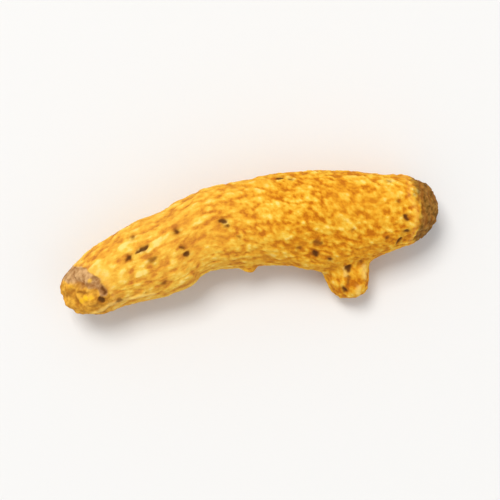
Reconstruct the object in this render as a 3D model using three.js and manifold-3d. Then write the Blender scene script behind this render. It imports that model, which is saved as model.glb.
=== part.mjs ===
// One finger of turmeric root, boiled and dried whole, with the stub of a side shoot. It grew in one piece.
// Millimetres, +Z up, +X along the finger away from its broken end. The finger lies on its side on a flat
// surface, and the origin is on that surface, under the middle of the finger's box.
import * as THREE from "three";
import { mergeVertices } from "three/addons/utils/BufferGeometryUtils.js";
import Module from "manifold-3d";

// Driving dimensions.
const LENGTH = 55; // tip to tip, along X
const WIDTH = 13.4; // across the thickest place, seen from above
const FLATNESS = 0.94; // height over width of a cross-section
const WORN = 0.42; // depth of the flats that the finger rests on

// How finely the solid is divided.
const SIDES = 36;
const RING_STEP = 0.85;
const CAP_RINGS = 9;
const FLARE_STEPS = 6;
const ROUND_STEPS = 10;
const STUB_SIDES = 24;
const LOOK = 6; // a ring is square to the core's run over this far each way, so that no two rings cross

// The core of the finger, as [share of the half length, sideways, up]: an arch that lifts at the broken end.
const CORE = [
  [-1.0, -2.5, 7.4],
  [-0.86, -1.6, 6.8],
  [-0.72, -0.2, 6.25],
  [-0.52, 0.75, 5.95],
  [-0.4, 1.1, 6.0],
  [-0.27, 2.5, 6.2],
  [-0.14, 2.85, 6.4],
  [0.08, 2.7, 6.3],
  [0.33, 1.85, 6.25],
  [0.6, 0.9, 6.2],
  [0.84, 0.0, 6.0],
  [1.0, -0.3, 5.5],
];

// How thick it is there, as [share of the half length, share of WIDTH]: a swelling for each stretch of growth.
const GIRTH = [
  [-1.0, 0.57],
  [-0.86, 0.64],
  [-0.72, 0.74],
  [-0.52, 0.87],
  [-0.4, 0.88],
  [-0.27, 0.85],
  [-0.14, 0.895],
  [0.02, 0.905],
  [0.18, 0.965],
  [0.33, 0.985],
  [0.55, 0.9],
  [0.76, 0.81],
  [1.0, 0.66],
];

// The ends close over these lengths, and a bluntness above 2 is squarer than an ellipse.
const BROKEN_END = { length: 6.2, bluntness: 2.3 };
const FREE_END = { length: 5.4, bluntness: 2.3 };

// Slow waves round the section, as [number round it, height as a share of the radius, length along X, start].
const WAVES = [
  [2, 0.022, 41, 0.6],
  [3, 0.018, 33, 2.1],
  [5, 0.011, 23, 4.0],
];

// The side shoot is a blunt stub. Its tip leans down to the surface that the finger lies on.
const STUB = {
  from: new THREE.Vector3(12.5, -1.2, 5.5),
  tip: new THREE.Vector3(13.1, -10.7, 2.7),
  radius: 3.4,
  bluntness: 0.6, // under 1 is squarer than an ellipse
  foot: 3.7, // radius where it leaves the finger
  flare: 3.4, // length over which the foot narrows
  buried: 2.0, // length inside the finger
  waves: [
    [2, 0.05, 30, 1.0],
    [3, 0.045, 17, 0.3],
  ],
};

// The finger swells towards the stub, by this much at its middle, over this distance round it.
const SWELLING = { rise: 2.3, reach: 5.0 };

// The foot of a broken rootlet and a bud, each a low dome on the finger's skin.
const NUBS = [
  { at: [-0.6, -3.0, 6.6], out: [-0.1, -1, 0.25], radius: 1.3, height: 0.9 },
  { at: [6.9, 8.15, 7.6], out: [0.25, 1, 0.4], radius: 1.6, height: 0.4 },
];
const NUB_SIDES = 12;

// A nub's outline, as [share of its radius, share of its height], from inside the finger to its top.
const NUB_OUTLINE = [[0, -2.6], [1, -2.6], [1, -0.8], [0.86, 0.45], [0.5, 0.88], [0, 1]];

const WELD = 1e-3; // corners closer than this are one corner

const { Manifold, Mesh } = await Module().then((wasm) => {
  wasm.setup();
  return wasm;
});

// A smooth curve through [share, ...values] points, read by share.
function through(points) {
  const places = points.map(([share, a, b = 0]) => new THREE.Vector3(share, a, b));
  const curve = new THREE.CatmullRomCurve3(places, false, "centripetal");
  const steps = curve.getPoints(400);
  return (share) => {
    const next = steps.findIndex((p) => p.x >= share);
    if (next < 1) return next === 0 ? steps[0] : steps[steps.length - 1];
    const [a, b] = [steps[next - 1], steps[next]];
    return a.clone().lerp(b, (share - a.x) / (b.x - a.x));
  };
}

// A point of the finger's skin, drawn out along the stub where it is near the stub's axis.
function swollen(point) {
  const ahead = STUB.tip.clone().sub(STUB.from).normalize();
  const along = point.clone().sub(STUB.from).dot(ahead);
  const away = point.distanceTo(STUB.from.clone().addScaledVector(ahead, along));
  const rise = along > 0 ? SWELLING.rise * Math.exp(-((away / SWELLING.reach) ** 2)) : 0;
  return point.addScaledVector(ahead, rise);
}

// The radius at an angle and a distance along, with slow waves on it.
function wavy(radius, angle, along, waves) {
  const rise = waves.map(([count, height, reach, start]) =>
    height * Math.sin(count * angle + (2 * Math.PI * along) / reach + start));
  return radius * (1 + rise.reduce((sum, one) => sum + one, 0));
}

// How far an end has opened, from 0 at its tip to 1 at the end of its cap.
function opened(fromTip, { length, bluntness }) {
  const left = 1 - Math.min(1, fromTip / length);
  return Math.pow(1 - Math.pow(left, bluntness), 1 / bluntness);
}

// Distances from the tip at which a cap has its rings, closer together towards the tip.
function capRings(end) {
  const turn = (ring) => ((ring + 1) / CAP_RINGS) * (Math.PI / 2);
  return Array.from({ length: CAP_RINGS }, (_, ring) => end.length * (1 - Math.cos(turn(ring))));
}

// A closed skin over rings of points, with a single point at each end.
function closedSkin(first, rings, last) {
  const sides = rings[0].length;
  const points = [first, ...rings.flat(), last];
  const triangles = [];
  const at = (ring, side) => 1 + ring * sides + (side % sides);
  for (let side = 0; side < sides; side++) {
    triangles.push(0, at(0, side + 1), at(0, side));
    for (let ring = 0; ring + 1 < rings.length; ring++) {
      const [a, b] = [at(ring, side), at(ring, side + 1)];
      const [c, d] = [at(ring + 1, side), at(ring + 1, side + 1)];
      triangles.push(a, b, d, a, d, c);
    }
    triangles.push(points.length - 1, at(rings.length - 1, side), at(rings.length - 1, side + 1));
  }
  return new THREE.BufferGeometry().setFromPoints(points).setIndex(triangles);
}

// The finger itself: rings square to the arched core, from the broken end to the free end.
function fingerShape() {
  const half = LENGTH / 2;
  const core = through(CORE);
  const girth = through(GIRTH);
  const onCore = (x) => {
    const p = core(x / half);
    return new THREE.Vector3(x, p.y, p.z);
  };
  const ringAt = (x) => {
    const ahead = onCore(Math.min(half, x + LOOK)).sub(onCore(Math.max(-half, x - LOOK))).normalize();
    const side = new THREE.Vector3(0, 0, 1).cross(ahead).normalize();
    const up = ahead.clone().cross(side);
    const open = opened(x + half, BROKEN_END) * opened(half - x, FREE_END);
    const radius = (girth(x / half).y * WIDTH * open) / 2;
    return Array.from({ length: SIDES }, (_, n) => {
      const angle = (2 * Math.PI * n) / SIDES;
      const r = wavy(radius, angle, x, WAVES);
      return swollen(onCore(x)
        .addScaledVector(side, r * Math.cos(angle))
        .addScaledVector(up, r * Math.sin(angle) * FLATNESS));
    });
  };
  const left = capRings(BROKEN_END).map((d) => d - half);
  const right = capRings(FREE_END).map((d) => half - d).reverse();
  const [start, stop] = [left[left.length - 1], right[0]];
  const count = Math.round((stop - start) / RING_STEP);
  const middle = Array.from({ length: count - 1 }, (_, n) => start + ((n + 1) * (stop - start)) / count);
  return closedSkin(onCore(-half), [...left, ...middle, ...right].map(ringAt), onCore(half));
}

// The stub: a turned outline with a flared foot and a round tip, with waves that make it less regular.
function stubShape() {
  const { from, tip, radius, bluntness, foot, flare, buried, waves } = STUB;
  const ahead = tip.clone().sub(from);
  const long = ahead.length();
  const outline = [new THREE.Vector2(0, 0), new THREE.Vector2(foot, 0.01)];
  for (let n = 0; n <= FLARE_STEPS; n++) {
    const turn = (n / FLARE_STEPS) * (Math.PI / 2);
    const r = foot - (foot - radius) * Math.sin(turn);
    outline.push(new THREE.Vector2(r, buried + flare * (1 - Math.cos(turn))));
  }
  const round = long - buried - flare;
  for (let n = 1; n <= ROUND_STEPS; n++) {
    const turn = (n / ROUND_STEPS) * (Math.PI / 2);
    const r = n === ROUND_STEPS ? 0 : radius * Math.pow(Math.cos(turn), bluntness);
    outline.push(new THREE.Vector2(r, buried + flare + round * Math.sin(turn)));
  }
  const shape = new THREE.LatheGeometry(outline, STUB_SIDES);
  const places = shape.getAttribute("position");
  const place = new THREE.Vector3();
  for (let n = 0; n < places.count; n++) {
    place.fromBufferAttribute(places, n);
    const angle = Math.atan2(place.z, place.x);
    const grown = wavy(1, angle, place.y, waves);
    places.setXYZ(n, place.x * grown, place.y, place.z * grown);
  }
  const turned = new THREE.Quaternion().setFromUnitVectors(new THREE.Vector3(0, 1, 0), ahead.normalize());
  return shape.applyQuaternion(turned).translate(from.x, from.y, from.z);
}

// A low dome that starts inside the finger.
function nubShape({ at, out, radius, height }) {
  const outline = NUB_OUTLINE.map(([wide, high]) => new THREE.Vector2(wide * radius, high * height));
  const ahead = new THREE.Vector3(...out).normalize();
  const turned = new THREE.Quaternion().setFromUnitVectors(new THREE.Vector3(0, 1, 0), ahead);
  return new THREE.LatheGeometry(outline, NUB_SIDES).applyQuaternion(turned).translate(...at);
}

// A closed three.js geometry as a solid that can be joined and cut.
function solid(geometry) {
  const bare = geometry.clone();
  bare.deleteAttribute("normal");
  bare.deleteAttribute("uv");
  const merged = mergeVertices(bare, WELD);
  return new Manifold(new Mesh({
    numProp: 3,
    vertProperties: new Float32Array(merged.getAttribute("position").array),
    triVerts: new Uint32Array(merged.index.array),
  }));
}

// A solid as a three.js geometry again.
function geometryOf(shape) {
  const { vertProperties, triVerts } = shape.getMesh();
  const geometry = new THREE.BufferGeometry()
    .setAttribute("position", new THREE.BufferAttribute(vertProperties, 3))
    .setIndex(new THREE.BufferAttribute(triVerts, 1));
  geometry.computeVertexNormals();
  return geometry;
}

// The surface's side of the finger is worn flat where it touches.
const block = new THREE.BoxGeometry(2 * LENGTH, 2 * LENGTH, LENGTH).translate(0, 0, WORN - LENGTH / 2);
const underneath = solid(block);

const grown = [stubShape(), ...NUBS.map(nubShape)]
  .reduce((whole, shape) => whole.add(solid(shape)), solid(fingerShape()))
  .subtract(underneath);

const skin = new THREE.MeshStandardMaterial({ color: "#e3a02f", roughness: 0.72, metalness: 0 });
const finger = new THREE.Mesh(geometryOf(grown), skin);
finger.name = "turmeric_finger";

// Stands the finger over the origin, on the surface.
const box = new THREE.Box3().setFromObject(finger);
const middle = box.getCenter(new THREE.Vector3());
finger.position.set(-middle.x, -middle.y, -box.min.z);

const root = new THREE.Group();
root.add(finger);
export default root;
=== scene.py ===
import math

import bmesh
import bpy
import numpy as np
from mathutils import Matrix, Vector, noise


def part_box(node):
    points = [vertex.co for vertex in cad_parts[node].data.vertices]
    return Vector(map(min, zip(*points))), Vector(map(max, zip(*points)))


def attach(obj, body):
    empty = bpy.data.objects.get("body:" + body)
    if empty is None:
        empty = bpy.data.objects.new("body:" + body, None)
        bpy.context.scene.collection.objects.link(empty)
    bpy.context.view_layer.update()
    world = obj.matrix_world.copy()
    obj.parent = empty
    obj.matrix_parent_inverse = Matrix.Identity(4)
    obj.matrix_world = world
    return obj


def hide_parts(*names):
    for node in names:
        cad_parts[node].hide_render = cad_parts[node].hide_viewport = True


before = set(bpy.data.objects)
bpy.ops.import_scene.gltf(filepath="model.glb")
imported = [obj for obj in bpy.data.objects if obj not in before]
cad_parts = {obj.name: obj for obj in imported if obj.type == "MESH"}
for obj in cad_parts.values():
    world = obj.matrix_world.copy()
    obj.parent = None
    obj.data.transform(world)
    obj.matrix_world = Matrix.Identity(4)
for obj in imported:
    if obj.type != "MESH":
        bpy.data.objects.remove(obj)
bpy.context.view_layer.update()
metre = 0.001  # one millimetre, in metres


# A colour written as in sRGB, such as "e3a02f", for a shader.
def colour(hexText):
    parts = [int(hexText[n:n + 2], 16) / 255 for n in (0, 2, 4)]
    return [p / 12.92 if p <= 0.04045 else ((p + 0.055) / 1.055) ** 2.4 for p in parts] + [1]


# Adds one node with its settings, and fills its inputs from values, sockets or other nodes.
def addNode(tree, kind, inputs=None, **settings):
    node = tree.nodes.new(kind)
    for name, value in settings.items():
        setattr(node, name, value)
    for name, value in (inputs or {}).items():
        named = [s for s in node.inputs if s.enabled and s.name == name]
        socket = named[0] if named else node.inputs[name]
        if isinstance(value, bpy.types.Node):
            value = next(s for s in value.outputs if s.enabled)
        if isinstance(value, bpy.types.NodeSocket):
            tree.links.new(value, socket)
        else:
            socket.default_value = value
    return node


# Rises smoothly from 0 to 1 as the value goes from low to high.
def rise(value, low, high):
    share = np.clip((value - low) / (high - low), 0, 1)
    return share * share * (3 - 2 * share)


# Slow random waves from -1 to 1, about this many millimetres long.
def wander(points, size, seed):
    shift = Vector((17.3, 5.1, 9.7)) * seed
    return np.array([noise.noise(Vector(p) / size + shift) for p in points])


# Waves of several lengths together. Each is (height, length in millimetres, seed).
def waves(points, parts):
    return sum(high * wander(points, size, seed) for high, size, seed in parts)


# A smooth hump of height 1 round a middle value.
def hump(value, middle, wide):
    return np.exp(-((value - middle) / wide) ** 2)


# The object with its modifiers worked in, as a plain mesh object.
def asMesh(made, name):
    bpy.context.view_layer.update()
    result = bpy.data.meshes.new_from_object(made.evaluated_get(bpy.context.evaluated_depsgraph_get()))
    bpy.data.objects.remove(made)
    plain = bpy.data.objects.new(name, result)
    bpy.context.scene.collection.objects.link(plain)
    return plain


# Point places and normals as arrays, the places in millimetres.
def readMesh(mesh):
    count = len(mesh.vertices)
    places, normals = np.zeros(count * 3), np.zeros(count * 3)
    mesh.vertices.foreach_get("co", places)
    mesh.vertex_normals.foreach_get("vector", normals)
    return places.reshape(-1, 3) / metre, normals.reshape(-1, 3)


def writePlaces(mesh, places):
    mesh.vertices.foreach_set("co", (places * metre).ravel())
    mesh.update()


def storeValues(mesh, name, values):
    kind, field = ("FLOAT", "value") if values.ndim == 1 else ("FLOAT_VECTOR", "vector")
    attribute = mesh.attributes.new(name, kind, "POINT")
    attribute.data.foreach_set(field, values.astype(np.float32).ravel())


# The whole finger. Lengths are in millimetres, and x runs from the broken end to the free end. Waves are
# lists of (height, length, seed). The two numbers of an edge are where it begins and where it ends.
finger = {
    "node": "turmeric_finger",
    "slot": "skin",
    "thickest": 13.6,  # no section of the finger is wider, so what lies beyond belongs to the stub
    "spacing": 0.352,  # between points, before each face is divided in four
    "softening": 12,  # rounds of smoothing that take away the flat facets
    "straightUntil": -9.0,  # up to here the wrinkles run along the finger
    "leaningFrom": 5.0,  # and from here they wind round it
    "lean": 0.045,  # radians for each millimetre
    "longer": 0.86,  # how fast the pattern of wrinkles runs near the broken end, where they are longer
    "shorter": 1.25,  # and how fast it runs near the free end
    "shorterFrom": 9.0,  # and from here on it does
    # The short stub of a side shoot. Its wrinkles follow its own axis.
    "stub": {
        "tipDepth": 0.5,  # its outermost part, whose middle is its tip
        "shift": 0.9,  # its foot is this much nearer the broken end than its tip
        "out": (5.2, 6.8),  # along its axis, from the middle of the finger
        "radius": (4.2, 5.0),  # round its axis
    },
    # The broken end: a lumpy face of bare cork, slanted towards the tip, with a grey patch on it.
    "brokenEnd": {
        "border": (-20.9, -1.0, 10.0),  # a point on the border of the face
        "facing": (-0.76, -0.45, 0.46),
        "slant": (-0.56, -0.12, 0.82),  # the tip is a little flat on this side
        "cut": 0.95,  # depth taken off there
        "leftOver": 0.45,  # share of the rounding that stays
        "borderWaves": [(0.5, 2.2, 1), (0.22, 0.8, 2)],
        "borderEdge": (-0.15, 0.3),
        "rough": 0.30,
        "lumps": [(1.0, 1.3, 3), (0.5, 0.55, 4)],
        "lumpHollowShade": 0.6,  # painted shade: how dark the hollows between the lumps are painted
        "lumpEdge": (0.25, 0.8),
        "sunk": 0.12,  # the face lies this much below the skin
        "ringRound": 1.95,  # a dark ring round the yellow eye of the face, this far from it
        "ringWide": 0.30,
        "ringWaves": [(0.3, 1.2, 16)],
        "ringGaps": [(1.0, 1.5, 17)],
        "ringEdge": (-0.5, 0.1),
        "ringDark": 0.75,
        "ringDeep": 0.2,
        "lip": 0.07,
        "lipOut": 0.45,  # how far outside the border the lip of skin is
        "lipWide": 0.3,
        "grey": [  # the grey patch: from and to (x, y), and half width
            ((-25.6, 2.4), (-21.6, 0.4), 1.85),
            ((-21.7, 0.4), (-21.3, -1.5), 0.8),
        ],
        "greyWaves": [(0.35, 1.4, 12)],
        "greyEdge": (0.7, 1.05),
        "greyAbove": 3,  # it stays on the upper side
    },
    # The free end: a cap of brown cork, one thin skin lower than the rest, with rings that close round
    # its tip.
    "freeEnd": {
        "border": (24.3, 0.85, 9.3),
        "facing": (0.975, -0.14, -0.17),
        "borderWaves": [(0.75, 2.8, 5), (0.3, 1.0, 6)],
        "borderGrain": [(0.3, 0.5, 15)],
        "borderEdge": (-0.5, 0.6),
        "step": 0.12,
        "lip": 0.05,
        "lipOut": 0.8,
        "lipWide": 0.4,
        "lumps": [(0.12, 1.4, 7), (0.08, 0.6, 8)],
        "ringApart": 1.15,
        "ringTurn": 0.9,  # radians that shift the rings outwards
        "ringDepth": 0.14,
        "ringGaps": [(1.0, 1.7, 13)],
        "ringEdge": (-0.45, 0.1),
        "bud": 0.18,  # height of the bud scar in the middle
        "budWide": 0.65,
        "budRound": (1.0, 0.22),  # radius and width of the dark ring round it
        "budDark": 0.8,
    },
    # Growth rings: where, how far each leans towards the free end for each millimetre sideways, and how deep.
    "rings": [
        (-16.6, 0.02, 0.03),
        (-12.9, -0.10, 0.03),
        (-9.3, -0.20, 0.08),
        (-4.4, -0.05, 0.03),
        (0.9, 0.06, 0.03),
        (6.2, 0.10, 0.05),
        (10.9, 0.14, 0.03),
        (15.4, 0.18, 0.04),
        (19.0, 0.22, 0.04),
        (22.0, 0.27, 0.10),
    ],
    "ringSway": [(1.1, 5.0, 9), (0.4, 1.6, 10)],  # how far they stray along the finger
    "ringGaps": 2.6,  # length of the worn places
    "ringEdge": (-0.2, 0.4),
    "ringWide": 0.3,
    "collar": (0.7, 0.75, 0.55),  # how high it is for the ring's depth, how far beside it, and how wide
    "ringBlack": 0.2,  # a ring as deep as this is as dark as can be
    # Marks on the upper side: from and to (x, y), half width and depth. Rootlets broke off here, or the
    # skin cracked.
    "marks": [
        ((-26.2, 2.4), (-24.4, 2.8), 0.36, 0.16),
        ((-26.6, -0.9), (-25.2, -0.5), 0.55, 0.16),
        ((-25.0, -0.9), (-23.6, -1.1), 0.42, 0.18),
        ((-21.3, -0.6), (-21.1, -1.9), 0.50, 0.26),
        ((-21.9, -2.3), (-21.6, -2.8), 0.60, 0.42),
        ((-23.9, -4.2), (-23.5, -4.3), 0.42, 0.28),
        ((-19.6, -3.2), (-19.2, -3.2), 0.50, 0.22),
        ((-17.0, 2.3), (-16.5, 2.6), 0.50, 0.42),
        ((-15.7, 2.9), (-15.0, 3.1), 0.30, 0.28),
        ((-15.1, 3.1), (-14.0, 3.5), 0.46, 0.36),
        ((-15.9, 5.2), (-15.7, 5.3), 0.55, 0.22),
        ((-13.9, 1.4), (-13.2, 1.6), 0.65, 0.22),
        ((-12.9, -2.1), (-12.7, -2.0), 0.52, 0.22),
        ((-9.6, 4.8), (-9.3, 4.6), 0.58, 0.30),
        ((-9.4, 2.3), (-9.0, 2.2), 0.42, 0.26),
        ((-8.9, 1.2), (-8.5, 1.3), 0.46, 0.38),
        ((-3.1, 4.7), (-2.6, 4.8), 0.48, 0.40),
        ((-2.5, 4.1), (-2.3, 3.8), 0.38, 0.26),
        ((-1.2, 2.1), (-1.0, 2.0), 0.34, 0.20),
        ((5.8, 9.1), (6.5, 9.0), 0.50, 0.34),
        ((7.5, 8.6), (7.9, 8.5), 0.36, 0.24),
        ((8.7, -2.3), (9.0, -2.6), 0.58, 0.46),
        ((9.0, -0.9), (9.9, -1.2), 0.60, 0.22),
        ((6.7, -1.2), (6.9, -1.3), 0.42, 0.20),
        ((10.5, -3.6), (10.8, -3.7), 0.48, 0.28),
        ((14.5, -0.3), (14.7, -0.3), 0.36, 0.16),
        ((19.0, -2.4), (19.2, -2.5), 0.34, 0.24),
        ((21.5, 2.4), (21.7, 2.3), 0.42, 0.22),
        ((20.9, 5.4), (21.2, 5.3), 0.36, 0.18),
        ((22.1, 0.0), (22.3, -0.4), 0.44, 0.36),
        ((21.8, -1.9), (22.1, -2.1), 0.46, 0.38),
        ((20.5, -3.4), (21.2, -3.0), 0.40, 0.40),
        ((13.0, -5.3), (13.0, -5.6), 0.50, 0.46),
        ((11.8, -8.2), (12.0, -8.5), 0.55, 0.40),
        ((12.8, -6.4), (12.5, -7.8), 0.32, 0.20),
        ((14.9, -4.8), (15.1, -5.0), 0.34, 0.20),
    ],
    "pit": {
        "ragged": 0.27,  # how far its edge strays, in waves of this length
        "raggedSize": 0.65,
        "hole": (0.1, 1.5),  # its edge, in half widths
        "stain": (0.4, 2.3),
        "stainDark": 0.34,
        "floor": 0.55,  # share of the depth that the hole reaches
        "rim": (0.07, 1.7, 0.4),  # height for its depth, distance and width in half widths
        "pointed": 0.45,  # how fast long cracks narrow towards their ends
        "mostPointed": 0.5,
        "black": 0.33,  # a pit as deep as this is as dark as can be
    },
    # Raised ridges, painted pale as a highlight: from and to (x, y), half width and height.
    "highlightRidges": [
        ((-23.4, -4.1), (-20.9, -3.4), 0.50, 0.12),
        ((-20.7, -3.4), (-14.6, -3.3), 0.50, 0.08),
        ((12.5, -5.3), (12.6, -6.3), 0.45, 0.12),
        ((15.3, -5.6), (15.2, -7.2), 0.60, 0.12),
        ((14.1, -8.5), (13.9, -9.2), 0.60, 0.10),
    ],
    "ridgeRagged": [(0.5, 0.8, 18)],
    "ridgeEdge": (0.2, 1.2),  # in half widths
    # Yellow spots where the fresh inside shows: x, y, half width, how far they stand out and how
    # yellow they are. The last is a small bud.
    "yellowSpots": [
        (-23.9, -1.8, 0.64, 0.18, 1.0),
        (-24.6, -2.0, 0.58, 0.12, 0.75),
        (-23.2, -1.9, 0.50, 0.10, 0.65),
        (-22.8, 0.5, 0.45, 0.12, 0.6),
        (-25.7, 0.4, 0.6, 0.10, 0.3),
        (-0.6, -2.7, 1.3, 0.32, 0.4),
    ],
    "spotRagged": [(0.4, 0.7, 14)],
    "spotEdge": (0.3, 1.0),  # in half widths
    # The small relief of the skin and the scars of broken rootlets, made by Geometry Nodes. Estimated, not
    # measured: furrows 0.5 to 1.5 mm apart, scars 0.2 to 0.8 mm wide, and grain finer than 0.1 mm, which is
    # drawn as coarse as it needs to show.
    "relief": {
        "Furrow Width": 0.95,
        "Furrow Length": 2.4,
        "Furrow Depth": 0.10,
        "Pebble Width": 0.75,
        "Pebble Length": 1.05,
        "Pebble Depth": 0.11,
        "Grain Size": 0.45,
        "Grain Depth": 0.06,
        "Swell Size": 5.5,
        "Swell Depth": 0.30,
        "Scar Apart": 2.0,
        "Scar Width": 0.42,
        "Scar Depth": 0.17,
        "Scars On Top": 0.5,  # how small they are on the upper side, which has its own marks
        "Seed": 3.0,
    },
    # Colours as sRGB, and sizes in millimetres.
    "look": {
        "tones": [(0.0, "bc6a08"), (0.25, "d98d16"), (0.5, "e8aa2b"), (0.75, "efc043"), (1.0, "f6d270")],
        "furrowToneAndShade": 0.28,  # what the furrows, the pebbles and the mottling add to the tone; the grooves and valleys come out darker, partly real and partly painted shade
        "pebbleToneAndShade": 0.34,
        "mottleShare": 1.15,
        "toneEdge": (0.53, 1.25),
        "mottle": 0.8,  # rubbed patches of powder, judged
        "mottlePace": (0.82, 1.0, 1.0),  # they are a little longer than wide
        # Both ends are lighter: from x and to x, and how much lighter at each.
        "endTones": [(-9.0, 6.0, 0.07, 0.0), (13.0, 21.0, 0.0, 0.055)],
        "patch": 4.0,  # slow changes of colour
        "patchEdge": (0.45, 0.65),
        "patchShare": 0.3,
        "patchColour": "e6a024",
        "pale": "ffe4a4",  # the skin is paler near the broken end
        "paleEnd": (-9.0, 6.0, 0.055, 0.0),
        "layers": {  # how much each covers of what is under it
            "lip": 0.12,
            "ring": 0.35,
            "bare": 0.85,
            # pale: the painted highlight on the raised ridges
            "pale": 0.55,
            "grey": 0.9,
            "cap": 0.93,
            "crackAndHollowShade": 1.0,
            "fresh": 0.9,
        },
        "lip": "f2c27c",
        "ring": "a0651c",
        "inner": ("efb03c", "b9781f"),  # light and dark grains of the bare face
        # the colour of the painted highlight on the raised ridges
        "highlightRidge": "fbd878",
        "grey": ("d0a676", "9a6e44"),
        "cork": ("a27030", "553408"),
        "corkGrain": 0.7,
        "corkEdge": (0.36, 0.64),
        # dark brown of the cracks and pits, also used for the painted shade in the hollows of the broken face
        "halo": "ac6217",
        "crackAndHollowShade": "4a260a",
        "crackFull": (0.75, 0.95),  # from this depth on, a crack covers this much
        "fresh": "ffc524",
        # Estimated, not measured: fibres 0.1 to 0.2 mm wide, and powder finer still. Both are drawn as
        # coarse as they need to show.
        "fibre": 0.4,
        "fibrePace": (0.45, 1.0, 1.0),
        "fibreDepth": 0.16,
        "fibreStrength": 0.8,
        "powder": 0.16,
        "powderDepth": 0.04,
        "powderStrength": 0.7,
        "roughness": 0.85,
        "ior": 1.45,
        "specular": 0.14,
        "sheen": 0.04,
        "sheenTint": "ffd27a",
    },
}


# A merged copy of the CAD node, evenly divided and with its facets smoothed away.
def evenCopy(node):
    mesh = node.data.copy()
    worker = bmesh.new()
    worker.from_mesh(mesh)
    bmesh.ops.remove_doubles(worker, verts=worker.verts, dist=0.001 * metre)
    worker.to_mesh(mesh)
    worker.free()
    mesh.materials.clear()
    copy = bpy.data.objects.new("evenFinger", mesh)
    bpy.context.scene.collection.objects.link(copy)
    even = copy.modifiers.new("even", "REMESH")
    even.mode = "VOXEL"
    even.voxel_size = finger["spacing"] * metre
    soft = copy.modifiers.new("soft", "SMOOTH")
    soft.iterations = finger["softening"]
    soft.factor = 0.5
    fine = copy.modifiers.new("fine", "SUBSURF")
    fine.levels = fine.render_levels = 1
    return asMesh(copy, "evenFinger")


# Where each point is, counted from the middle of its own section, so that patterns follow the arched finger.
def straightened(places):
    slices = np.arange(math.floor(places[:, 0].min()), places[:, 0].max() + 1, 1.0)
    middles = []
    for x in slices:
        near = places[np.abs(places[:, 0] - x) < 1.0]
        near = near[near[:, 1] > near[:, 1].max() - finger["thickest"]]
        middles.append((near[:, 1:].min(0) + near[:, 1:].max(0)) / 2)
    middles = np.array(middles)
    kernel = np.ones(5) / 5
    middles = np.stack([np.convolve(np.pad(middles[:, n], 2, "edge"), kernel, "valid") for n in (0, 1)], 1)
    laid = places.copy()
    for n in (0, 1):
        laid[:, n + 1] -= np.interp(places[:, 0], slices, middles[:, n])
    return laid


# Each point's place seen along the stub's own axis, and how much it belongs to the stub.
def aroundStub(places, laid):
    stub = finger["stub"]
    tip = places[places[:, 1] < places[:, 1].min() + stub["tipDepth"]].mean(0)
    foot = (places - laid)[np.abs(places[:, 0] - tip[0] + stub["shift"]) < 0.3].mean(0)
    foot[0] = tip[0] - stub["shift"]
    ahead = (tip - foot) / np.linalg.norm(tip - foot)
    along = (places - foot) @ ahead
    aside = places - foot - np.outer(along, ahead)
    away = np.linalg.norm(aside, axis=1)
    share = rise(along, *stub["out"]) * rise(-away, -stub["radius"][1], -stub["radius"][0])
    across = np.cross(ahead, (0, 0, 1))
    across /= np.linalg.norm(across)
    return np.stack([along, aside @ across, aside @ np.cross(across, ahead)], 1), share


# Turns the straightened places round the finger's length, so that their x runs along the wrinkles.
def alongWrinkles(laid):
    slow = np.linspace(-40, 40, 801)  # well past both ends
    turning = finger["lean"] * rise(slow, finger["straightUntil"], finger["leaningFrom"])
    turned = np.interp(laid[:, 0], slow, np.cumsum(turning) * (slow[1] - slow[0]))
    shorter = rise(slow, finger["straightUntil"], finger["shorterFrom"])
    pace = finger["longer"] + (finger["shorter"] - finger["longer"]) * shorter
    along = np.interp(laid[:, 0], slow, np.cumsum(pace) * (slow[1] - slow[0]))
    cos, sin = np.cos(turned), np.sin(turned)
    y = cos * laid[:, 1] + sin * laid[:, 2]
    z = cos * laid[:, 2] - sin * laid[:, 1]
    return np.stack([along, y, z], 1)


# How far each place is from the line between two points, and how far along the line it is, from 0 to 1.
def fromLine(places, start, end):
    run = np.subtract(end, start)
    share = np.clip((places - start) @ run / max(run @ run, 1e-9), 0, 1)
    return np.linalg.norm(places - start - np.outer(share, run), axis=1), share


# The slanted broken face. Returns the moved places, and how much each point belongs to the face, to its grey
# patch, to the painted shade in the hollows between its lumps and its dark ring, and to the lip of skin round
# it.
def breakEnd(places):
    broken = finger["brokenEnd"]
    facing, slant = (np.array(broken[name]) / np.linalg.norm(broken[name]) for name in ("facing", "slant"))
    inside = (places - broken["border"]) @ facing + waves(places, broken["borderWaves"])
    inside = np.where(places[:, 0] < 0, inside, -9)  # the other half of the finger is outside
    face = rise(inside, *broken["borderEdge"])
    lip = hump(inside, -broken["lipOut"], broken["lipWide"])
    lumps = waves(places, broken["lumps"])
    reach = places @ slant
    flat = (1 - broken["leftOver"]) * np.maximum(reach - reach.max() + broken["cut"], 0)
    away = np.min([fromLine(places[:, :2], a, b)[0] / wide for a, b, wide in broken["grey"]], axis=0)
    away = away * (1 + waves(places, broken["greyWaves"]))
    grey = face * (1 - rise(away, *broken["greyEdge"])) * (places[:, 2] > broken["greyAbove"])
    eye = onTop(places, *finger["yellowSpots"][0][:2])
    fromEye = np.linalg.norm(places - eye, axis=1) + waves(places, broken["ringWaves"])
    ring = hump(fromEye, broken["ringRound"], broken["ringWide"])
    ring = broken["ringDark"] * ring * rise(waves(places, broken["ringGaps"]), *broken["ringEdge"])
    up = face * (broken["rough"] * lumps - broken["sunk"] - broken["ringDeep"] * ring) + broken["lip"] * lip
    # The hollows between the lumps are painted dark as shade; the ring round the eye is a dark mark.
    faceShadeAndRing = face * np.maximum(broken["lumpHollowShade"] * rise(-lumps, *broken["lumpEdge"]), ring)
    return places + np.outer(up, facing) - np.outer(flat, slant), face, grey, faceShadeAndRing, lip


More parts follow.
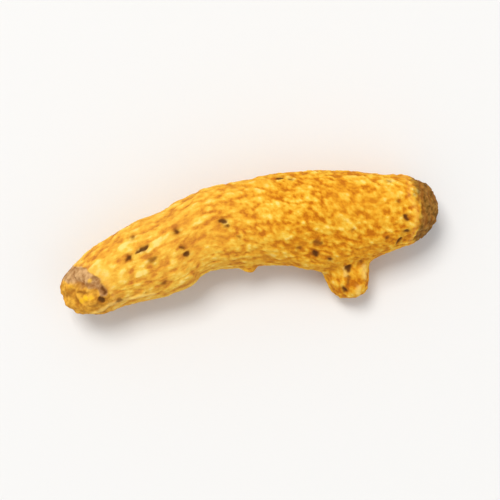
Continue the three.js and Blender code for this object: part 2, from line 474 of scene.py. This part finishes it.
# The brown cap of the free end. Returns the rise along the normals, and how much each point belongs to the
# cap, to its grooves and to its lip.
def capEnd(places):
    free = finger["freeEnd"]
    facing = np.array(free["facing"]) / np.linalg.norm(free["facing"])
    wobble = waves(places, free["borderWaves"])
    inside = (places - free["border"]) @ facing + wobble
    cap = rise(inside + waves(places, free["borderGrain"]), *free["borderEdge"])
    lip = hump(inside, -free["lipOut"], free["lipWide"])
    reach = places @ facing
    tip = places[reach > reach.max() - 0.3].mean(0)
    away = np.linalg.norm(places - tip, axis=1) + 0.5 * wobble
    turn = away * 2 * math.pi / free["ringApart"] - free["ringTurn"]
    groove = (0.5 - 0.5 * np.cos(turn)) ** 3  # narrow grooves with wide crests between them
    groove = groove * rise(waves(places, free["ringGaps"]), *free["ringEdge"])
    coarse = waves(places, free["lumps"]) - free["ringDepth"] * groove
    bud = hump(away, 0, free["budWide"])
    height = free["lip"] * lip - free["step"] * cap + cap * (coarse + free["bud"] * bud)
    roundBud = free["budDark"] * hump(away, *free["budRound"])
    return height, cap, cap * np.maximum(groove, roundBud), lip


# Growth rings, each a groove with a soft collar beside it, deep in some places and worn away in others.
def carveRings(laid, stubShare):
    height, dark = np.zeros(len(laid)), np.zeros(len(laid))
    sway = waves(laid, finger["ringSway"])
    high, beside, wide = finger["collar"]
    firstSeed = 20
    for number, (x, lean, deep) in enumerate(finger["rings"]):
        off = laid[:, 0] - x - lean * laid[:, 1] + sway
        worn = wander(laid, finger["ringGaps"], firstSeed + number)
        groove = hump(off, 0, finger["ringWide"]) * rise(worn, *finger["ringEdge"]) * (1 - stubShare)
        height += deep * (high * hump(off, -beside, wide) - groove)
        dark = np.maximum(dark, groove * deep / finger["ringBlack"])
    return height, dark


# Pits and cracks with ragged edges. Each is (from, to, half width, depth), its ends being points on the skin.
def carvePits(places, pits):
    pit = finger["pit"]
    height, dark = np.zeros(len(places)), np.zeros(len(places))
    seeds = (30, 31, 32)
    warped = places + pit["ragged"] * np.stack([wander(places, pit["raggedSize"], seed) for seed in seeds], 1)
    rimHigh, rimAway, rimWide = pit["rim"]
    for start, end, wide, deep in pits:
        length = np.linalg.norm(end - start)
        near = np.abs(places - (start + end) / 2).max(1) < length / 2 + 3 * wide
        away, share = fromLine(warped[near], start, end)
        narrower = min(pit["mostPointed"], pit["pointed"] * length) * (2 * share - 1) ** 2
        away = away / wide / (1 - narrower)
        hole = 1 - rise(away, *pit["hole"])
        stain = pit["stainDark"] * (1 - rise(away, *pit["stain"]))
        height[near] += deep * (rimHigh * hump(away, rimAway, rimWide) - pit["floor"] * hole)
        dark[near] = np.maximum(dark[near], np.maximum(hole, stain) * min(1, deep / pit["black"]))
    return height, dark


# The point on the upper side of the skin that is nearest to an x and y.
def onTop(places, x, y):
    away = np.hypot(places[:, 0] - x, places[:, 1] - y)
    near = away < 0.5
    upper = near & (places[:, 2] > places[near, 2].max() - 2)  # not the underside
    return places[np.where(upper, away, 9).argmin()]


# Raised ridges with a painted highlight. Returns their height and how much painted highlight each point gets.
def raiseHighlightRidges(places):
    height, pale = np.zeros(len(places)), np.zeros(len(places))
    ragged = 1 + waves(places, finger["ridgeRagged"])
    low, high = finger["ridgeEdge"]
    for a, b, wide, up in finger["highlightRidges"]:
        away, _ = fromLine(places, onTop(places, *a), onTop(places, *b))
        highlightRidge = 1 - rise(away * ragged, low * wide, high * wide)
        height = np.maximum(height, up * highlightRidge)
        pale = np.maximum(pale, highlightRidge)
    return height, pale


# Everything on the skin that has its own place: both ends, rings, marks, ridges with their painted highlight
# and yellow spots.
def shapeSkin(even):
    mesh = even.data
    places, _ = readMesh(mesh)
    laid = straightened(places)
    stubPlaces, stubShare = aroundStub(places, laid)
    places, face, grey, faceShadeAndRing, faceLip = breakEnd(places)
    writePlaces(mesh, places)
    _, normals = readMesh(mesh)
    capHeight, cap, capGroove, capLip = capEnd(places)
    ringHeight, ringDark = carveRings(laid, stubShare)
    placed = [(onTop(places, *a), onTop(places, *b), wide, deep) for a, b, wide, deep in finger["marks"]]
    markHeight, markDark = carvePits(places, placed)
    skinShare = (1 - face) * (1 - cap)
    ridgeHeight, pale = raiseHighlightRidges(places)
    height = capHeight + skinShare * ringHeight + markHeight + ridgeHeight
    fresh = np.zeros(len(places))
    ragged = 1 + waves(places, finger["spotRagged"])
    low, full = finger["spotEdge"]
    for x, y, wide, high, yellow in finger["yellowSpots"]:
        away = np.linalg.norm(places - onTop(places, x, y), axis=1)
        spot = 1 - rise(away * ragged, low * wide, full * wide)
        fresh = np.maximum(fresh, yellow * spot)
        height += high * spot
    writePlaces(mesh, places + normals * height[:, None])
    stored = {
        "laid": laid,
        "wrinkle": alongWrinkles(laid),
        "stub": stubPlaces,
        "stubShare": stubShare,
        "skinShare": skinShare,
        "bare": face,
        "cap": cap,
        "grey": grey,
        # The cracks here also carry the painted shade in the hollows of the broken face.
        "crackAndHollowShade": np.maximum.reduce([markDark, 0.6 * faceShadeAndRing, 0.55 * capGroove]),  # paler at both ends
        "ring": ringDark * skinShare,
        "lip": np.maximum(faceLip, capLip) * skinShare,
        # pale: the painted highlight on the raised ridges
        "pale": pale,
        "fresh": fresh,
    }
    for name, values in stored.items():
        storeValues(mesh, name, values)


# A node group with a height from 0 to 1, made on places that run along the wrinkles. The build function adds
# its nodes and gets the tree, the bent places and the seed.
def heightGroup(name, build):
    tree = bpy.data.node_groups.new(name, "GeometryNodeTree")
    tree.interface.new_socket("Along", in_out="INPUT", socket_type="NodeSocketVector")
    for item in ("Width", "Length", "Seed"):
        tree.interface.new_socket(item, in_out="INPUT", socket_type="NodeSocketFloat")
    tree.interface.new_socket("Height", in_out="OUTPUT", socket_type="NodeSocketFloat")
    given = addNode(tree, "NodeGroupInput").outputs
    size = addNode(tree, "ShaderNodeCombineXYZ",
                   {"X": given["Length"], "Y": given["Width"], "Z": given["Width"]})
    scaled = addNode(tree, "ShaderNodeVectorMath", {0: given["Along"], 1: size}, operation="DIVIDE")
    bendScale, bendMost = 0.6, 1.1  # both against the size of a fold
    bend = addNode(tree, "ShaderNodeTexNoise",
                   {"Vector": scaled, "W": given["Seed"], "Scale": bendScale, "Detail": 2.0},
                   noise_dimensions="4D")
    bendBy = addNode(tree, "ShaderNodeVectorMath", {0: bend.outputs["Color"], 1: (0.5, 0.5, 0.5)},
                     operation="SUBTRACT")
    bent = addNode(tree, "ShaderNodeVectorMath", {0: bendBy, 1: (bendMost,) * 3, 2: scaled},
                   operation="MULTIPLY_ADD")
    addNode(tree, "NodeGroupOutput", {"Height": build(tree, bent, given["Seed"])})
    return tree


# Narrow grooves between rounded folds, where the skin shrank as it dried.
def furrows(tree, bent, seed):
    wave = addNode(tree, "ShaderNodeTexNoise", {"Vector": bent, "W": seed, "Scale": 0.55, "Detail": 1.5},
                   noise_dimensions="4D")
    centred = addNode(tree, "ShaderNodeMath", {0: wave, 1: 0.5}, operation="SUBTRACT")
    folded = addNode(tree, "ShaderNodeMath", {0: centred}, operation="ABSOLUTE")
    grooveEdge = 0.13  # a smaller value makes the grooves narrower
    return addNode(tree, "ShaderNodeMapRange", {"Value": folded, "From Min": 0.0, "From Max": grooveEdge},
                   interpolation_type="SMOOTHERSTEP")


# Small raised grains, a little longer than wide, with a net of valleys between them.
def pebbles(tree, bent, seed):
    cells = addNode(tree, "ShaderNodeTexVoronoi",
                    {"Vector": bent, "W": seed, "Scale": 1.0, "Smoothness": 0.35, "Randomness": 1.0},
                    voronoi_dimensions="4D", feature="SMOOTH_F1")
    valley, crest = 0.75, 0.15  # distances from the middle of a pebble, against its size
    return addNode(tree, "ShaderNodeMapRange",
                   {"Value": cells.outputs["Distance"], "From Min": valley, "From Max": crest},
                   interpolation_type="SMOOTHSTEP")


# Scars of broken rootlets, scattered over the skin. Gives their depth from 0 to 1 and how brown they are.
def scars(tree, given, read):
    plenty = 1e6  # candidates for each square metre, which are thinned until they are far enough apart
    raggedScale, raggedMost = 1.5, 0.9
    rarity = 2.2  # a higher power leaves fewer large scars
    apart = addNode(tree, "ShaderNodeMath", {0: given["Scar Apart"], 1: metre}, operation="MULTIPLY")
    spread = addNode(tree, "GeometryNodeDistributePointsOnFaces",
                     {"Mesh": given["Geometry"], "Distance Min": apart, "Density Max": plenty,
                      "Seed": given["Seed"]}, distribute_method="POISSON")
    points = spread.outputs["Points"]
    place = addNode(tree, "GeometryNodeInputPosition")
    ragged = addNode(tree, "ShaderNodeTexNoise",
                     {"Vector": read["laid"], "Scale": raggedScale, "Detail": 0.0})
    centred = addNode(tree, "ShaderNodeVectorMath", {0: ragged.outputs["Color"], 1: (0.5, 0.5, 0.5)},
                      operation="SUBTRACT")
    moved = addNode(tree, "ShaderNodeVectorMath", {0: centred, 1: (raggedMost * metre,) * 3, 2: place},
                    operation="MULTIPLY_ADD")
    nearest = addNode(tree, "GeometryNodeProximity", {"Geometry": points, "Sample Position": moved},
                      target_element="POINTS")
    chance = addNode(tree, "FunctionNodeRandomValue", {"Seed": given["Seed"]}, data_type="FLOAT")
    rare = addNode(tree, "ShaderNodeMath", {0: chance, 1: rarity}, operation="POWER")
    index = addNode(tree, "GeometryNodeSampleNearest", {"Geometry": points, "Sample Position": moved})
    share = addNode(tree, "GeometryNodeSampleIndex", {"Geometry": points, "Value": rare, "Index": index},
                    data_type="FLOAT")
    upwards = addNode(tree, "ShaderNodeSeparateXYZ", {"Vector": addNode(tree, "GeometryNodeInputNormal")})
    smaller = addNode(tree, "ShaderNodeMapRange",
                      {"Value": upwards.outputs["Z"], "From Min": 0.0, "From Max": 0.4, "To Min": 1.0,
                       "To Max": given["Scars On Top"]})
    size = addNode(tree, "ShaderNodeMath", {0: share, 1: smaller}, operation="MULTIPLY")
    wide = addNode(tree, "ShaderNodeMath", {0: size, 1: given["Scar Width"]}, operation="MULTIPLY")
    inMetres = addNode(tree, "ShaderNodeMath", {0: wide, 1: metre}, operation="MULTIPLY")
    away = addNode(tree, "ShaderNodeMath", {0: nearest.outputs["Distance"], 1: inMetres}, operation="DIVIDE")
    pit = finger["pit"]
    soft = []
    for (low, high), most in ((pit["hole"], 1.0), (pit["stain"], pit["stainDark"])):
        soft.append(addNode(tree, "ShaderNodeMapRange",
                            {"Value": away, "From Min": low, "From Max": high, "To Min": most, "To Max": 0.0},
                            interpolation_type="SMOOTHSTEP"))
    hole, stain = soft
    onSkin = addNode(tree, "ShaderNodeMath", {0: size, 1: read["skinShare"]}, operation="MULTIPLY")
    deep = addNode(tree, "ShaderNodeMath", {0: hole, 1: onSkin}, operation="MULTIPLY")
    brown = addNode(tree, "ShaderNodeMath", {0: hole, 1: stain}, operation="MAXIMUM")
    return deep, addNode(tree, "ShaderNodeMath", {0: brown, 1: onSkin}, operation="MULTIPLY")


# The skin's relief: slow swellings, furrows and pebbles that follow the finger and the stub, fine grain and
# scars.
def reliefTree(skin):
    tree = bpy.data.node_groups.new("turmericRelief", "GeometryNodeTree")
    tree.interface.new_socket("Geometry", in_out="INPUT", socket_type="NodeSocketGeometry")
    for name in finger["relief"]:
        tree.interface.new_socket(name, in_out="INPUT", socket_type="NodeSocketFloat")
    tree.interface.new_socket("Geometry", in_out="OUTPUT", socket_type="NodeSocketGeometry")
    given = addNode(tree, "NodeGroupInput").outputs
    read = {name: addNode(tree, "GeometryNodeInputNamedAttribute", {"Name": name}, data_type="FLOAT_VECTOR")
            for name in ("laid", "wrinkle", "stub")}
    for name in ("stubShare", "skinShare", "bare", "crackAndHollowShade"):
        read[name] = addNode(tree, "GeometryNodeInputNamedAttribute", {"Name": name}, data_type="FLOAT")
    folds = []
    for kind, build in (("Furrow", furrows), ("Pebble", pebbles)):
        group = heightGroup(kind.lower() + "Height", build)
        heights = []
        for along in ("wrinkle", "stub"):
            node = addNode(tree, "GeometryNodeGroup", node_tree=group)
            for name, value in (("Along", read[along].outputs[0]), ("Width", given[kind + " Width"]),
                                ("Length", given[kind + " Length"]), ("Seed", given["Seed"])):
                tree.links.new(value, node.inputs[name])
            heights.append(node.outputs["Height"])
        folds.append(addNode(tree, "ShaderNodeMix",
                             {"Factor": read["stubShare"], "A": heights[0], "B": heights[1]},
                             data_type="FLOAT"))
    rolling = {}
    for kind, detail in (("Swell", 1.0), ("Grain", 2.0)):
        scale = addNode(tree, "ShaderNodeMath", {0: 1.0, 1: given[kind + " Size"]}, operation="DIVIDE")
        wave = addNode(tree, "ShaderNodeTexNoise",
                       {"Vector": read["laid"], "W": given["Seed"], "Scale": scale, "Detail": detail},
                       noise_dimensions="4D")
        centred = addNode(tree, "ShaderNodeMath", {0: wave, 1: 0.5}, operation="SUBTRACT")
        twice = addNode(tree, "ShaderNodeMath", {0: centred, 1: 2.0}, operation="MULTIPLY")
        rolling[kind] = addNode(tree, "ShaderNodeMath", {0: twice, 1: given[kind + " Depth"]},
                                operation="MULTIPLY")
    total = addNode(tree, "ShaderNodeMath", {0: rolling["Swell"], 1: rolling["Grain"]}, operation="ADD")
    hidden = addNode(tree, "ShaderNodeMath", {0: read["bare"], 1: read["crackAndHollowShade"]}, operation="MAXIMUM")
    kept = addNode(tree, "ShaderNodeMath", {0: 1.0, 1: hidden}, operation="SUBTRACT")
    middle = 0.55  # mean height of the folds, so that they keep the finger's size
    for fold, kind in zip(folds, ("Furrow", "Pebble")):
        lowered = addNode(tree, "ShaderNodeMath", {0: fold, 1: middle}, operation="SUBTRACT")
        deep = addNode(tree, "ShaderNodeMath", {0: lowered, 1: given[kind + " Depth"]}, operation="MULTIPLY")
        total = addNode(tree, "ShaderNodeMath", {0: deep, 1: kept, 2: total}, operation="MULTIPLY_ADD")
    scarDeep, scarBrown = scars(tree, given, read)
    sunk = addNode(tree, "ShaderNodeMath", {0: scarDeep, 1: given["Scar Depth"]}, operation="MULTIPLY")
    total = addNode(tree, "ShaderNodeMath", {0: total, 1: sunk}, operation="SUBTRACT")
    brown = addNode(tree, "ShaderNodeMath", {0: read["crackAndHollowShade"], 1: scarBrown}, operation="MAXIMUM")
    inMetres = addNode(tree, "ShaderNodeMath", {0: total, 1: metre}, operation="MULTIPLY")
    outwards = addNode(tree, "GeometryNodeInputNormal")
    offset = addNode(tree, "ShaderNodeVectorMath", {0: outwards, "Scale": inMetres}, operation="SCALE")
    made = given["Geometry"]
    for name, value in (("furrow", folds[0]), ("pebble", folds[1]), ("crackAndHollowShade", brown)):
        made = addNode(tree, "GeometryNodeStoreNamedAttribute",
                       {"Geometry": made, "Name": name, "Value": value}, data_type="FLOAT")
    moved = addNode(tree, "GeometryNodeSetPosition", {"Geometry": made, "Offset": offset})
    real = addNode(tree, "GeometryNodeRealizeInstances", {"Geometry": moved})
    done = addNode(tree, "GeometryNodeSetMaterial", {"Geometry": real, "Material": skin})
    addNode(tree, "NodeGroupOutput", {"Geometry": done})
    return tree


# Dried turmeric skin: papery cork, dusted with the root's own yellow powder. Matte, pale on the folds where
# the powder has rubbed off on them, deeper orange in the grooves, which is partly painted shade, brown in the
# scars, and with a painted highlight on a few raised ridges.
def driedTurmericSkin():
    look = finger["look"]
    material = bpy.data.materials.new("driedTurmericSkin")
    material.use_nodes = True
    tree = material.node_tree
    tree.nodes.clear()
    names = ("laid", "wrinkle", "furrow", "pebble", *look["layers"])
    read = {name: addNode(tree, "ShaderNodeAttribute", attribute_name=name) for name in names}
    laid, along = read["laid"].outputs["Vector"], read["wrinkle"].outputs["Vector"]
    value = {name: node.outputs["Fac"] for name, node in read.items()}
    drawn = addNode(tree, "ShaderNodeVectorMath", {0: along, 1: look["mottlePace"]}, operation="MULTIPLY")
    tone = addNode(tree, "ShaderNodeTexNoise",
                   {"Vector": drawn, "Scale": 1 / look["mottle"], "Detail": 3.0, "Roughness": 0.6})
    # The grooves of the furrows and the valleys between the pebbles are painted darker: partly painted shade.
    folds = addNode(tree, "ShaderNodeMath", {0: value["furrow"], 1: look["furrowToneAndShade"]},
                    operation="MULTIPLY")
    folds = addNode(tree, "ShaderNodeMath", {0: value["pebble"], 1: look["pebbleToneAndShade"], 2: folds},
                    operation="MULTIPLY_ADD")
    tone = addNode(tree, "ShaderNodeMath", {0: tone, 1: look["mottleShare"], 2: folds},
                   operation="MULTIPLY_ADD")
    lengthwise = addNode(tree, "ShaderNodeSeparateXYZ", {"Vector": laid}).outputs["X"]
    shares = []
    for start, end, first, last in (*look["endTones"], look["paleEnd"]):
        shares.append(addNode(tree, "ShaderNodeMapRange",
                              {"Value": lengthwise, "From Min": start, "From Max": end, "To Min": first,
                               "To Max": last}))
    for lighter in shares[:-1]:
        tone = addNode(tree, "ShaderNodeMath", {0: tone, 1: lighter}, operation="ADD")
    darkest, lightest = look["toneEdge"]
    tone = addNode(tree, "ShaderNodeMapRange", {"Value": tone, "From Min": darkest, "From Max": lightest})
    skin = addNode(tree, "ShaderNodeValToRGB", {"Fac": tone})
    ramp = skin.color_ramp
    ramp.elements[0].color, ramp.elements[1].color = (colour(look["tones"][n][1]) for n in (0, -1))
    for place, hexText in look["tones"][1:-1]:
        ramp.elements.new(place).color = colour(hexText)
    patches = addNode(tree, "ShaderNodeTexNoise", {"Vector": laid, "Scale": 1 / look["patch"], "Detail": 2.0})
    low, high = look["patchEdge"]
    patchShare = addNode(tree, "ShaderNodeMapRange",
                         {"Value": patches, "From Min": low, "From Max": high, "To Max": look["patchShare"]})
    top = addNode(tree, "ShaderNodeMix", {"Factor": patchShare, "A": skin, "B": colour(look["patchColour"])},
                  data_type="RGBA")
    top = addNode(tree, "ShaderNodeMix",
                  {"Factor": shares[-1], "A": top.outputs["Result"], "B": colour(look["pale"])},
                  data_type="RGBA")
    corkGrain = addNode(tree, "ShaderNodeTexNoise",
                        {"Vector": laid, "Scale": 1 / look["corkGrain"], "Detail": 4.0})
    low, high = look["corkEdge"]
    corkShare = addNode(tree, "ShaderNodeMapRange", {"Value": corkGrain, "From Min": low, "From Max": high})
    grained = {}
    for name in ("inner", "cork", "grey"):
        light, dark = look[name]
        grained[name] = addNode(tree, "ShaderNodeMix",
                                {"Factor": corkShare, "A": colour(dark), "B": colour(light)},
                                data_type="RGBA")
    scar = addNode(tree, "ShaderNodeMix",
                   {"Factor": value["crackAndHollowShade"], "A": colour(look["halo"]), "B": colour(look["crackAndHollowShade"])},
                   data_type="RGBA")
    value["crackAndHollowShade"] = addNode(tree, "ShaderNodeMapRange",
                             {"Value": value["crackAndHollowShade"], "From Max": look["crackFull"][0],
                              "To Max": look["crackFull"][1]}).outputs["Result"]
    paints = {
        "lip": colour(look["lip"]),
        "ring": colour(look["ring"]),
        "bare": grained["inner"].outputs["Result"],
        # the painted highlight on the raised ridges
        "pale": colour(look["highlightRidge"]),
        "grey": grained["grey"].outputs["Result"],
        "cap": grained["cork"].outputs["Result"],
        "crackAndHollowShade": scar.outputs["Result"],
        "fresh": colour(look["fresh"]),
    }
    for name, most in look["layers"].items():
        share = addNode(tree, "ShaderNodeMath", {0: value[name], 1: most}, operation="MULTIPLY")
        top = addNode(tree, "ShaderNodeMix",
                      {"Factor": share, "A": top.outputs["Result"], "B": paints[name]}, data_type="RGBA")
    fibrous = addNode(tree, "ShaderNodeVectorMath", {0: along, 1: look["fibrePace"]}, operation="MULTIPLY")
    fibre = addNode(tree, "ShaderNodeTexNoise",
                    {"Vector": fibrous, "Scale": 1 / look["fibre"], "Detail": 2.0})
    powder = addNode(tree, "ShaderNodeTexNoise",
                     {"Vector": laid, "Scale": 1 / look["powder"], "Detail": 2.0})
    creased = addNode(tree, "ShaderNodeBump", {"Height": fibre, "Distance": look["fibreDepth"] * metre,
                                               "Strength": look["fibreStrength"]})
    bump = addNode(tree, "ShaderNodeBump",
                   {"Height": powder, "Normal": creased, "Distance": look["powderDepth"] * metre,
                    "Strength": look["powderStrength"]})
    shader = addNode(tree, "ShaderNodeBsdfPrincipled",
                     {"Base Color": top, "Roughness": look["roughness"], "Normal": bump, "IOR": look["ior"],
                      "Specular IOR Level": look["specular"], "Sheen Weight": look["sheen"],
                      "Sheen Tint": colour(look["sheenTint"])})
    addNode(tree, "ShaderNodeOutputMaterial", {"Surface": shader})
    return material


# Keeps the skin from going below the surface that it lies on.
def rest(piece):
    places, _ = readMesh(piece.data)
    places[:, 2] = np.maximum(places[:, 2], 0)
    writePlaces(piece.data, places)


def makeFinger():
    even = evenCopy(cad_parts[finger["node"]])
    print("even copy:", len(even.data.vertices), "points")
    shapeSkin(even)
    print("ends, rings and scars shaped")
    tree = reliefTree(driedTurmericSkin())
    nodes = even.modifiers.new("relief", "NODES")
    nodes.node_group = tree
    for item in tree.interface.items_tree:
        if item.in_out == "INPUT" and item.name in finger["relief"]:
            nodes[item.identifier] = finger["relief"][item.name]
    piece = asMesh(even, "turmericSkin")
    rest(piece)
    for polygon in piece.data.polygons:
        polygon.use_smooth = True
    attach(piece, "root")
    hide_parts(finger["node"])
    print("finger made:", len(piece.data.polygons), "faces")


# The room, the floor and the camera. Places and sizes are in metres.
studio = {
    "floor": "e6e6e6",
    "floorRadius": 1.2,
    "sky": 0.55,  # brightness of the room overhead
    "horizon": 0.95,  # and of a low band all round, as bright as the floor
    "skyEdge": (0.1, 0.3),  # upward part of the direction where the band ends and the sky begins
    # Lights: name, place from the middle of the surface, size, power and colour.
    "lights": [
        ("key", (-0.4, 1.2, 2.5), 1.1, 54.5, "fffdf9"),
        ("fill", (1.5, -1.5, 2.0), 2.2, 7, "ffffff"),
    ],
    "turn": -12.0,  # degrees that the camera is turned, so that the finger climbs to the right
    "lens": 120.0,  # millimetres
    "across": 0.071,  # what the picture shows at the middle of the finger
}


def plainMaterial(name, hexText, roughness):
    material = bpy.data.materials.new(name)
    material.use_nodes = True
    shader = material.node_tree.nodes["Principled BSDF"]
    shader.inputs["Base Color"].default_value = colour(hexText)
    shader.inputs["Roughness"].default_value = roughness
    return material


def makeFloor():
    worker = bmesh.new()
    bmesh.ops.create_circle(worker, cap_ends=True, segments=96, radius=studio["floorRadius"])
    mesh = bpy.data.meshes.new("paleFloor")
    worker.to_mesh(mesh)
    worker.free()
    mesh.materials.append(plainMaterial("paleFloor", studio["floor"], 0.9))
    floor = bpy.data.objects.new("paleFloor", mesh)
    bpy.context.scene.collection.objects.link(floor)


# A soft light aimed at the finger. The place is in metres from the middle of the surface.
def softLight(name, place, size, power, hexText):
    data = bpy.data.lights.new(name, "AREA")
    data.size = size
    data.energy = power
    data.color = colour(hexText)[:3]
    light = bpy.data.objects.new(name, data)
    light.location = place
    light.rotation_euler = (-Vector(place)).to_track_quat("-Z", "Y").to_euler()
    bpy.context.scene.collection.objects.link(light)


def makeStudio():
    scene = bpy.context.scene
    scene.view_settings.view_transform = "Standard"
    world = bpy.data.worlds.new("paleRoom")
    world.use_nodes = True
    tree = world.node_tree
    direction = addNode(tree, "ShaderNodeTexCoord")
    height = addNode(tree, "ShaderNodeSeparateXYZ", {"Vector": direction.outputs["Generated"]})
    low, high = studio["skyEdge"]
    bright = addNode(tree, "ShaderNodeMapRange",
                     {"Value": height.outputs["Z"], "From Min": low, "From Max": high,
                      "To Min": studio["horizon"], "To Max": studio["sky"]}, interpolation_type="SMOOTHSTEP")
    tree.links.new(bright.outputs["Result"], tree.nodes["Background"].inputs["Strength"])
    tree.nodes["Background"].inputs["Color"].default_value = colour("ffffff")
    scene.world = world
    for light in studio["lights"]:
        softLight(*light)


def makeCamera():
    low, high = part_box(finger["node"])
    middle = (low + high) / 2
    data = bpy.data.cameras.new("camera")
    data.lens = studio["lens"]
    camera = bpy.data.objects.new("camera", data)
    away = studio["across"] / data.sensor_width * studio["lens"]
    camera.location = (middle.x, middle.y, middle.z + away)
    camera.rotation_euler = (0, 0, math.radians(studio["turn"]))
    data.clip_start, data.clip_end = 0.01, 20
    bpy.context.scene.collection.objects.link(camera)
    bpy.context.scene.camera = camera


makeCamera()
makeStudio()
makeFloor()
makeFinger()
